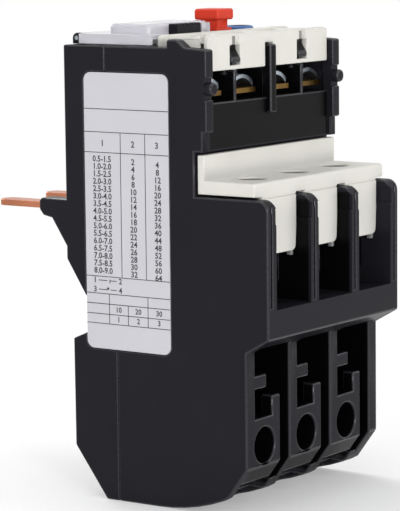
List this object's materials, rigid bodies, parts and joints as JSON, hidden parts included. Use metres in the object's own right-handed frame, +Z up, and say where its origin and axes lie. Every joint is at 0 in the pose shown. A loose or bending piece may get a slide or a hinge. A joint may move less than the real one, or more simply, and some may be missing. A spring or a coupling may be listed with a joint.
{
  "type": "thermal overload relay",
  "caption": "Plug-in bimetal overload relay with flat copper bars, box clamps, auxiliary terminals, a dial under a clear lid, and stop, reset and test controls.",
  "frame": {"origin": "centre of the bounding box's base, on the face that the relay stands on", "axes": "+X across the poles from the labelled side, +Y towards the contactor, +Z up to the dial and the buttons"},
  "size_m": [0.045, 0.0666, 0.0904],
  "materials": {
    "black_plastic": "moulded, fine spark texture",
    "white_plastic": "moulded, warm light grey",
    "clear_plastic": "clear, slightly smoky",
    "label": "printed film",
    "grey_plastic": "moulded",
    "dark_plastic": "moulded",
    "red_plastic": "moulded",
    "blue_plastic": "moulded",
    "green_plastic": "moulded",
    "copper": "bare copper",
    "zinc_steel": "zinc plated",
    "brass": "rolled",
    "silver": "contact silver",
    "bimetal": "rolled",
    "heater_ribbon": "oxidised",
    "steel": "bright"
  },
  "bodies": {
    "housing": {"arm_pin": "steel", "aux_clamps": "zinc_steel", "aux_cover": "white_plastic", "aux_plate_1": "brass", "aux_plate_2": "brass", "aux_plate_3": "brass", "aux_plate_4": "brass", "aux_screws": "zinc_steel", "bimetal_1": "bimetal", "bimetal_2": "bimetal", "bimetal_3": "bimetal", "front_panel": "black_plastic", "heater_1": "heater_ribbon", "heater_2": "heater_ribbon", "heater_3": "heater_ribbon", "label_plate": "label", "lid_pin": "steel", "line_bar_1": "copper", "line_bar_2": "copper", "line_bar_3": "copper", "load_clamp_1": "zinc_steel", "load_clamp_2": "zinc_steel", "load_clamp_3": "zinc_steel", "load_plate_1": "copper", "load_plate_2": "copper", "load_plate_3": "copper", "load_screws": "zinc_steel", "main_housing": "black_plastic", "mechanism_frame": "dark_plastic", "nc_contact": "brass", "no_contact": "brass", "rear_housing": "black_plastic", "reset_spring": "steel", "rocker_pin": "steel", "stop_spring": "steel", "terminal_cover": "white_plastic"},
    "lid": {"lid": "clear_plastic"},
    "dial": {"setting_dial": "grey_plastic"},
    "follower": {"cam_follower": "dark_plastic"},
    "stop": {"stop_button": "red_plastic"},
    "reset": {"reset_plunger": "dark_plastic"},
    "cap": {"reset_cap": "blue_plastic"},
    "test": {"test_lever": "dark_plastic"},
    "main_bar": {"main_slide": "dark_plastic"},
    "aux_bar": {"aux_slide": "dark_plastic"},
    "rocker": {"trip_rocker": "dark_plastic", "compensator": "bimetal"},
    "arm": {"contact_arm": "brass", "moving_contacts": "silver", "trip_flag": "green_plastic"}
  },
  "joints": [
    {"name": "lid_hinge", "type": "hinge", "parent": "housing", "child": "lid", "pos_m": [-0.01, 0.01055, 0.08575], "axis": [-1, 0, 0], "range_deg": [0, 110]},
    {"name": "dial_turn", "type": "hinge", "parent": "housing", "child": "dial", "pos_m": [-0.009, 0.00145, 0.084], "axis": [0, 0, -1], "range_deg": [0, 270]},
    {"name": "follower_slide", "type": "slide", "parent": "housing", "child": "follower", "axis": [1, 0, 0], "range_m": [0, 0.00135]},
    {"name": "stop_press", "type": "slide", "parent": "housing", "child": "stop", "axis": [0, 0, -1], "range_m": [0, 0.0025], "stiffness_N_per_m": 300, "deforming": ["stop_spring"]},
    {"name": "reset_press", "type": "slide", "parent": "housing", "child": "reset", "axis": [0, 0, -1], "range_m": [0, 0.002], "stiffness_N_per_m": 300, "deforming": ["reset_spring"]},
    {"name": "cap_turn", "type": "hinge", "parent": "reset", "child": "cap", "pos_m": [0.0145, -0.00195, 0.0855], "axis": [0, 0, 1], "range_deg": [0, 90]},
    {"name": "test_slide", "type": "slide", "parent": "housing", "child": "test", "axis": [-1, 0, 0], "range_m": [0, 0.002], "stiffness_N_per_m": 200},
    {"name": "main_bar_slide", "type": "slide", "parent": "housing", "child": "main_bar", "axis": [1, 0, 0], "range_m": [0, 0.002], "stiffness_N_per_m": 400},
    {"name": "aux_bar_slide", "type": "slide", "parent": "housing", "child": "aux_bar", "axis": [1, 0, 0], "range_m": [0, 0.0021]},
    {"name": "rocker_turn", "type": "hinge", "parent": "housing", "child": "rocker", "pos_m": [0.017, -0.00335, 0.074], "axis": [0, -1, 0], "range_deg": [0, 11.4]},
    {"name": "arm_turn", "type": "hinge", "parent": "housing", "child": "arm", "pos_m": [-0.004, -0.00335, 0.0721], "axis": [0, 1, 0], "range_deg": [0, 12.2]}
  ],
  "couplings": [
    {"joint": "dial_turn", "follows": "follower_slide", "rad_per_m": 3490.7},
    {"joint": "aux_bar_slide", "follows": "main_bar_slide", "ratio": 1},
    {"joint": "rocker_turn", "follows": "main_bar_slide", "rad_per_m": 95},
    {"joint": "arm_turn", "follows": "main_bar_slide", "rad_per_m": 102.5}
  ]
}
